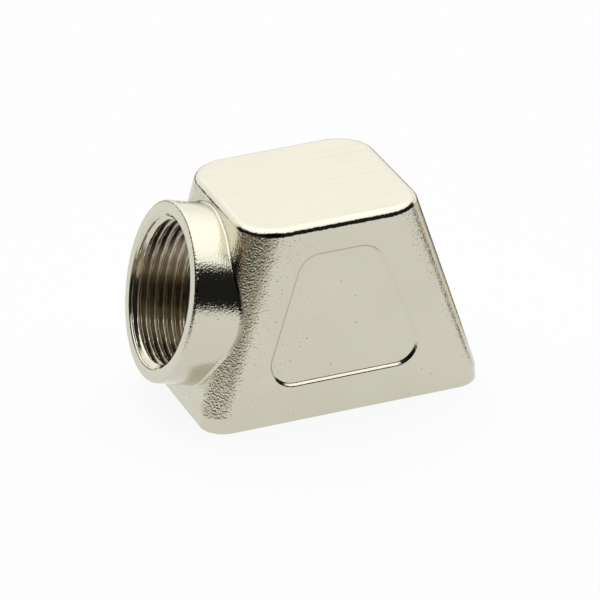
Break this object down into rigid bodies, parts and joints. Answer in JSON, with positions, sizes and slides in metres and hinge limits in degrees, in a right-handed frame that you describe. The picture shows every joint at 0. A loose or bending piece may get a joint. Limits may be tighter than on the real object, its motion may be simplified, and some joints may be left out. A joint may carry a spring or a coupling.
{
  "type": "connector hood",
  "caption": "Cast metal hood of a rectangular plug connector: open mouth, leaning ends, a tilted threaded cable entry in one end and a shallow recessed panel in front.",
  "frame": {"origin": "middle of the mouth, in the plane of its rim", "axes": "+X along the mouth's long side, away from the cable entry; +Y to the back, away from the recessed panel; +Z from the mouth to the top"},
  "size_m": [0.053, 0.032, 0.0337],
  "materials": {
    "nickel": "satin nickel plate on a fine-blasted zinc die casting"
  },
  "bodies": {
    "root": {"hood": "nickel"}
  },
  "joints": []
}
